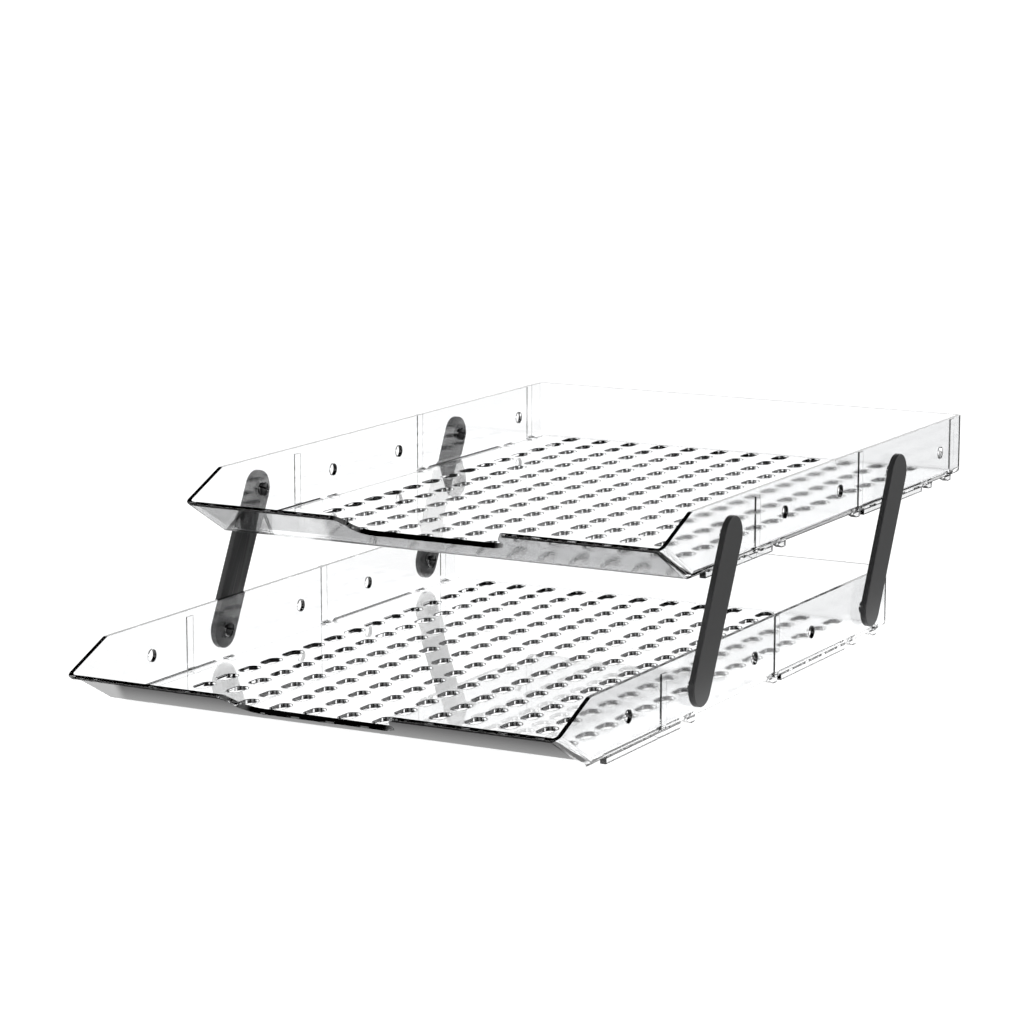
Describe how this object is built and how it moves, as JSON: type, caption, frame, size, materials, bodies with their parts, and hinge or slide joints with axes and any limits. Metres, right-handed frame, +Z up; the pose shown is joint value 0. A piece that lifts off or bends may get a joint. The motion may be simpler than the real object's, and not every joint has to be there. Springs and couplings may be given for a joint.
{
  "type": "two-tier letter tray",
  "caption": "Clear letter trays stacked one above the other on flat dark swing arms, with slotted floors, open fronts and a finger cut-out in each sloping lip.",
  "frame": {"origin": "on the desk, under the middle of the whole object with the arms leaning back as at rest", "axes": "the open fronts face -Y, +Z up, +X to the right of somebody facing the open fronts"},
  "size_m": [0.2636, 0.4606, 0.0988],
  "materials": {
    "clear_plastic": "polished, clear and colourless",
    "arm_plastic": "satin, dark grey, opaque"
  },
  "bodies": {
    "lower_tray": {"lower_tray": "clear_plastic"},
    "upper_tray": {"upper_tray": "clear_plastic"},
    "arm_front_right": {"arm_front_right": "arm_plastic"},
    "arm_front_left": {"arm_front_left": "arm_plastic"},
    "arm_rear_right": {"arm_rear_right": "arm_plastic"},
    "arm_rear_left": {"arm_rear_left": "arm_plastic"}
  },
  "joints": [
    {"name": "fold", "type": "hinge", "parent": "lower_tray", "child": "arm_front_right", "pos_m": [0.1304, -0.0976, 0.01725], "axis": [1, 0, 0], "range_deg": [-35.8, 88.6]},
    {"name": "upper_tray_level", "type": "hinge", "parent": "arm_front_right", "child": "upper_tray", "pos_m": [0.1304, -0.06524, 0.08246], "axis": [1, 0, 0], "range_deg": [-88.6, 35.8]},
    {"name": "fold_front_left", "type": "hinge", "parent": "lower_tray", "child": "arm_front_left", "pos_m": [-0.1304, -0.0976, 0.01725], "axis": [1, 0, 0], "range_deg": [-35.8, 88.6]},
    {"name": "fold_rear_right", "type": "hinge", "parent": "lower_tray", "child": "arm_rear_right", "pos_m": [0.1304, 0.1016, 0.01725], "axis": [1, 0, 0], "range_deg": [-35.8, 88.6]},
    {"name": "fold_rear_left", "type": "hinge", "parent": "lower_tray", "child": "arm_rear_left", "pos_m": [-0.1304, 0.1016, 0.01725], "axis": [1, 0, 0], "range_deg": [-35.8, 88.6]}
  ],
  "couplings": [
    {"joint": "upper_tray_level", "follows": "fold", "ratio": -1},
    {"joint": "fold_front_left", "follows": "fold", "ratio": 1},
    {"joint": "fold_rear_right", "follows": "fold", "ratio": 1},
    {"joint": "fold_rear_left", "follows": "fold", "ratio": 1}
  ]
}
